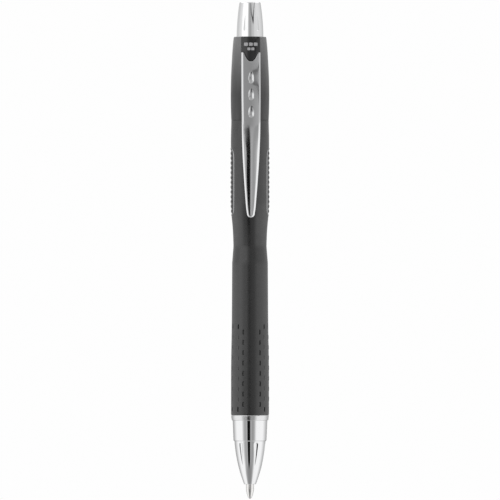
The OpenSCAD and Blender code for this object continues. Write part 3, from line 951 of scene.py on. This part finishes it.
def clip_grid():
    """Front and back points of the clip's sheet. The top rows follow the notch."""
    shares = clip_shares()
    levels = [(z, 0.0) for z in clip_rows()]
    last = levels[-1][0]
    levels += [(last, t) for t in steps(0, 1, 1 / 12)[1:]]
    front, back = [], []
    for low, share in levels:
        for a in shares:
            notch = NOTCH_LOW + (CLIP_TOP - NOTCH_LOW) * min(1, abs(a * CLIP_HALF) / NOTCH_HALF) ** 2
            z = low + (notch - low) * share
            half = clip_width(z)
            x = a * half
            edge_mm = half - abs(x)
            if z < CLIP_LOW + CLIP_END_R:
                edge_mm = CLIP_END_R - math.hypot(x, CLIP_LOW + CLIP_END_R - z)
            roll = NOTCH_ROLL * (1 - clamp((notch - z) / NOTCH_ROLL_WIDTH))
            front.append((x, -(clip_face(x, z, edge_mm) - roll), z))
            back.append((x, -(clip_back(z) - clip_bow(x, z)), z))
    return front, back, len(shares)


def clip():
    """The sheet bends from the barrel to the clip's body just below its root."""
    front, back, columns = clip_grid()
    sheet = patch("clip_sheet", front, back, columns, CLIP_CHROME_PAINTED_SHADE, 26)
    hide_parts("clip")
    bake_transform(sheet)
    foot()


def foot():
    """The clip's root, bent in under the shield."""
    half, low, high = 1.2, HINGE_Z - 1, HINGE_Z + 0.2
    overlap, inner_y, size = 0.2, -4.9, 0.3
    columns = steps(-half, half, size)
    front, back = [], []
    for z in steps(low, high, size):
        for x in columns:
            front.append((x, -(clip_back(z) + overlap), z))
            back.append((x, inner_y, z))
    piece = patch("clip_root", front, back, len(columns), CLIP_CHROME_PAINTED_SHADE)
    place(piece, "barrel", "clip_chrome")


# ---- button ----

BUTTON_TURN = 35.0
BUTTON_DIMPLE = {"round_z": 136.0, "point_z": 140.3, "half_width": 0.42, "slope": 0.55}


def button():
    """The push button: a straight foot, a curved taper and a slightly domed top, hollow inside."""
    inner_r = 3.2
    azimuths = dimple_azimuths(BUTTON_TURN)
    foot_top = (3.84, 135.4)
    edge = (3.08, BUTTON_TOP - 0.36)
    outline = refined([(3.9, CAP_LOW), (3.9, 133.0), foot_top], 1.0)
    outline += arc(foot_top, edge, 0.13, 110)
    outline += arc(edge, (2.72, BUTTON_TOP - 0.06), 0.1, 8)
    outline += [(2.0, BUTTON_TOP - 0.025), (1.0, BUTTON_TOP - 0.006), (0, BUTTON_TOP)]
    outline += [(0, 141), (2.6, 141), (2.6, 131), (3.25, 131), (3.25, CAP_LOW)]

    def sink(azimuth, radius, z):
        if radius < inner_r:
            return 0
        return teardrop_depth(azimuth, radius, z, BUTTON_TURN, **BUTTON_DIMPLE)

    piece = lathe("button_shell", outline, BUTTON_CHROME, azimuths, sink, DIMPLE_CREASE)
    place(piece, "button", "chrome", "button_cap")


# ---- inside the nose ----


def barrel():
    """The inner tube, with a helical thread on the spigot that the nose screws onto."""
    root = SPIGOT_R - 0.25
    bore = 3.4
    outline = [(bore, SPIGOT_LOW), (root - 0.12, SPIGOT_LOW), (root, SPIGOT_LOW + 0.12)]
    outline += refined([(root, SPIGOT_LOW + 0.12), (root, GRIP_LOW - 0.01)], 1.0)[1:]
    outline += [(CORE_R, GRIP_LOW), (CORE_R, TUBE_HIGH)]
    outline += [(3.85, TUBE_HIGH), (3.85, 101), (bore, 101)]
    place(lathe("barrel_core", outline, BLACK), "barrel", "black_plastic", "barrel_tube")
    place(thread(root), "barrel", "black_plastic")


def thread(root):
    """A helical ridge with a trapezoid section, faded in and out at its ends."""
    pitch, turns, per_turn = 1.2, 3.4, 60
    low = SPIGOT_LOW + 0.5
    points = []
    count = int(turns * per_turn)
    for i in range(count + 1):
        turn = i / per_turn
        height = (SPIGOT_R - root - 0.01) * ease(6 * min(turn, turns - turn)) + 0.01
        for radius, dz in ((-0.05, -0.34), (height, -0.16), (height, 0.16), (-0.05, 0.34)):
            points.append(polar(root + radius, 360 * turn, low + pitch * turn + dz))
    faces = grid_faces(count + 1, 4, False, True)
    faces += [(3, 2, 1, 0), tuple(count * 4 + k for k in range(4))]
    return make_piece("barrel_thread", points, faces, BLACK)


def spring():
    piece = helix("spring_coil", 2.3, 0.2, SPRING_LOW, SPRING_HIGH, 12, WIRE)
    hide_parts("return_spring")
    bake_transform(piece)


# ---- studio ----

CAMERA_DISTANCE = 2500.0
FRAME_HEIGHT = 145.0
FRAME_MID_Z = 72.1
CAMERA_AZIMUTH = -2.5
FLOOR_Z = -45.0
FLOOR_RADIUS = 1100.0
BACKDROP = 0.99


def floor():
    """A pale floor under the pen, left out of its reflections."""
    m = Material("floor_pale", (0.62, 0.62, 0.62), 0.6)
    m.vary_roughness(m.noise(20, 3.0), 0.55, 0.65)
    bpy.ops.mesh.primitive_circle_add(
        vertices=128, radius=FLOOR_RADIUS * MM, fill_type="NGON", location=(0, 0, FLOOR_Z * MM)
    )
    made = bpy.context.object
    made.name = "studio_floor"
    made.data.materials.append(m.material)
    made.visible_glossy = False


def camera():
    """A level camera a little to the pen's left, far enough off to flatten the perspective."""
    clip_end = 20.0
    data = bpy.data.cameras.new("camera")
    data.sensor_width = 36
    data.lens = data.sensor_width * CAMERA_DISTANCE / FRAME_HEIGHT
    data.clip_end = clip_end
    made = bpy.data.objects.new("camera", data)
    bpy.context.scene.collection.objects.link(made)
    x, y, _ = polar(CAMERA_DISTANCE, CAMERA_AZIMUTH, 0)
    made.location = Vector((x, y, FRAME_MID_Z)) * MM
    made.rotation_euler = (math.radians(90), 0, math.radians(CAMERA_AZIMUTH))
    bpy.context.scene.camera = made


# Brightness of the surroundings by degrees from the camera's side, in four rings of elevation.
# The low ring has tall soft boxes to the left and right with a black flag in front and behind.
LOW_RING = (
    (-180, 0.02), (-171, 0.02), (-168, 0.5), (-150, 0.6), (-133, 0.85), (-118, 1.25), (-100, 1.63),
    (-57, 1.63), (-50, 1.2), (-43, 0.85), (-36, 0.65), (-29, 0.64), (-22, 0.75), (-18.5, 0.6),
    (-17, 0.01), (0.5, 0.01), (2.5, 0.62), (8, 0.7), (15, 0.53), (24, 0.58), (31, 0.76),
    (38, 1.25), (46, 1.6), (95, 1.63), (107, 1.42), (119, 1.15), (133, 0.85), (150, 0.65),
    (168, 0.5), (171, 0.02),
)
DEEP_RING = (
    (-180, 0.5), (-150, 0.75), (-118, 1.25), (-90, 1.6), (-60, 1.6), (-45, 0.7), (-25, 0.45),
    (0, 0.42), (20, 0.5), (35, 0.95), (45, 1.55), (90, 1.6), (118, 1.18), (150, 0.75), (180, 0.5),
)
HIGH_RING = (
    (-180, 0.5), (-146, 0.85), (-120, 0.88), (-104, 1.05), (-82, 1.15), (-70, 1.62), (-22, 1.62),
    (-14, 0.85), (-6, 0.55), (5, 0.52), (12, 0.66), (22, 0.8), (31, 0.8), (40, 1.0), (55, 1.02),
    (70, 1.1), (92, 1.08), (120, 0.95), (142, 0.75), (180, 0.5),
)
SKY_RING = (
    (-180, 1.2), (-140, 2.0), (-60, 2.0), (-30, 0.8), (30, 0.7), (60, 1.6), (140, 1.8), (180, 1.2),
)
# Elevation in degrees of the edge between the low and the high ring, by the same azimuth.
HORIZON = ((-180, 1.0), (-24, 1.0), (-19, -4.8), (2, 2.0), (8, 1.0), (180, 1.0))
HORIZON_RANGE = 10.0
# Elevations between which the surroundings change from one ring to the next.
NADIR_FADE, DEEP_FADE = (-70.0, -50.0), (-33.0, -25.0)
SKY_FADE, ZENITH_FADE = (22.0, 32.0), (55.0, 75.0)
NADIR_LEVEL, ZENITH_LEVEL = 1.0, 1.3
HORIZON_FADE = (-0.8, 0.8)
# Dark lines in the high ring, as (azimuth, elevation, strength) places from the lowest up.
MAIN_STREAK = (
    (31, 8, 0), (28, 10, 1), (31, 12.5, 0.8), (39, 15, 0.6), (47, 17.5, 0.6), (58, 22, 1),
    (60, 30, 1), (60, 50, 1), (60, 62, 0),
)
SIDE_STREAK = ((27, 9.5, 0), (22, 11.5, 0.9), (13, 14, 0.7), (10, 17, 0.5), (8, 21, 0))
STREAK_LEVEL = 0.02


class World:
    """Builds the studio's surroundings out of shader nodes."""

    def __init__(self):
        self.world = bpy.data.worlds.new("studio")
        bpy.context.scene.world = self.world
        self.world.use_nodes = True
        self.tree = self.world.node_tree
        self.tree.nodes.clear()
        direction = self.node("ShaderNodeTexCoord").outputs["Generated"]
        split = self.node("ShaderNodeSeparateXYZ")
        self.link(direction, split.inputs[0])
        x, y, z = split.outputs
        turn = self.math("ARCTAN2", x, self.math("MULTIPLY", y, -1.0))
        turn = self.math("SUBTRACT", turn, math.radians(CAMERA_AZIMUTH))
        share = self.math("ADD", self.math("DIVIDE", turn, 2 * math.pi), 0.5)
        self.share = self.math("FRACT", share)
        centred = self.math("SUBTRACT", self.share, 0.5)
        self.azimuth = self.math("MULTIPLY", centred, 360.0)
        self.elevation = self.math("DEGREES", self.math("ARCSINE", z))

    def node(self, kind, **settings):
        made = self.tree.nodes.new(kind)
        for key, value in settings.items():
            setattr(made, key, value)
        return made

    def link(self, source, target):
        self.tree.links.new(source, target)

    def math(self, operation, *values):
        made = self.node("ShaderNodeMath", operation=operation)
        for socket, value in zip(made.inputs, values):
            if isinstance(value, (int, float)):
                socket.default_value = value
            else:
                self.link(value, socket)
        return made.outputs[0]

    def ring(self, levels):
        """Brightness by direction round the pen."""
        made = self.node("ShaderNodeValToRGB")
        self.link(self.share, made.inputs[0])
        stops = made.color_ramp.elements
        while len(stops) > 1:
            stops.remove(stops[-1])
        for i, (azimuth, level) in enumerate(levels):
            place = (azimuth + 180) / 360
            stop = stops[0] if i == 0 else stops.new(place)
            stop.position = place
            stop.color = (level, level, level, 1)
        return made.outputs[0]

    def step(self, value, start, end):
        """Goes smoothly from 0 to 1 as value goes from start to end."""
        made = self.node("ShaderNodeMapRange", interpolation_type="SMOOTHSTEP")
        made.inputs["From Min"].default_value = start
        made.inputs["From Max"].default_value = end
        self.link(value, made.inputs["Value"])
        return made.outputs["Result"]

    def mix(self, share, a, b):
        made = self.node("ShaderNodeMix", data_type="RGBA")
        self.link(share, made.inputs["Factor"])
        for socket, value in ((made.inputs[6], a), (made.inputs[7], b)):
            if isinstance(value, (int, float)):
                socket.default_value = (value, value, value, 1)
            else:
                self.link(value, socket)
        return made.outputs[2]

    def streak(self, places, width):
        """A dark line that passes through (azimuth, elevation, strength) places."""
        low, high = places[0][1], places[-1][1]
        rise = self.math("DIVIDE", self.math("SUBTRACT", self.elevation, low), high - low)
        path = self.node("ShaderNodeValToRGB")
        self.link(rise, path.inputs[0])
        stops = path.color_ramp.elements
        while len(stops) > 1:
            stops.remove(stops[-1])
        for i, (azimuth, elevation, strength) in enumerate(places):
            place = (elevation - low) / (high - low)
            stop = stops[0] if i == 0 else stops.new(place)
            stop.position = place
            stop.color = (azimuth / 100, strength, 0, 1)
        parts = self.node("ShaderNodeSeparateColor")
        self.link(path.outputs[0], parts.inputs[0])
        middle = self.math("MULTIPLY", parts.outputs[0], 100.0)
        away = self.math("ABSOLUTE", self.math("SUBTRACT", self.azimuth, middle))
        near = self.math("SUBTRACT", 1.0, self.step(away, width * 0.4, width))
        return self.math("MULTIPLY", near, parts.outputs[1])


def studio_light():
    """The surroundings that light the pen, seen as a plain white backdrop by the camera."""
    w = World()
    horizon = w.ring([(azimuth, 1 + level / HORIZON_RANGE) for azimuth, level in HORIZON])
    horizon = w.math("MULTIPLY", w.math("SUBTRACT", horizon, 1.0), HORIZON_RANGE)
    above = w.math("SUBTRACT", w.elevation, horizon)
    low = w.mix(w.step(w.elevation, *DEEP_FADE), w.ring(DEEP_RING), w.ring(LOW_RING))
    low = w.mix(w.step(w.elevation, *NADIR_FADE), NADIR_LEVEL, low)
    high = w.mix(w.step(w.elevation, *SKY_FADE), w.ring(HIGH_RING), w.ring(SKY_RING))
    high = w.mix(w.step(w.elevation, *ZENITH_FADE), high, ZENITH_LEVEL)
    for places, width in ((MAIN_STREAK, 8.5), (SIDE_STREAK, 6.5)):
        high = w.mix(w.streak(places, width), high, STREAK_LEVEL)
    light = w.mix(w.step(above, *HORIZON_FADE), low, high)
    studio = w.node("ShaderNodeBackground")
    w.link(light, studio.inputs["Color"])
    backdrop = w.node("ShaderNodeBackground")
    backdrop.inputs["Color"].default_value = (BACKDROP, BACKDROP, BACKDROP, 1)
    choose = w.node("ShaderNodeMixShader")
    w.link(w.node("ShaderNodeLightPath").outputs["Is Camera Ray"], choose.inputs[0])
    w.link(studio.outputs[0], choose.inputs[1])
    w.link(backdrop.outputs[0], choose.inputs[2])
    w.link(choose.outputs[0], w.node("ShaderNodeOutputWorld").inputs["Surface"])


finish_cad_nodes()
nose()
ring()
writing_point()
ball()
grip()
side_panel("panel_left", 270, "side_panel_left")
side_panel("panel_right", 90, "side_panel_right")
panel_trim("panel_edge_left", 270)
panel_trim("panel_edge_right", 90)
housing()
shield()
mark()
clip()
button()
barrel()
spring()
floor()
camera()
studio_light()
scene = bpy.context.scene
scene.view_settings.view_transform = "Standard"
scene.cycles.use_denoising = True
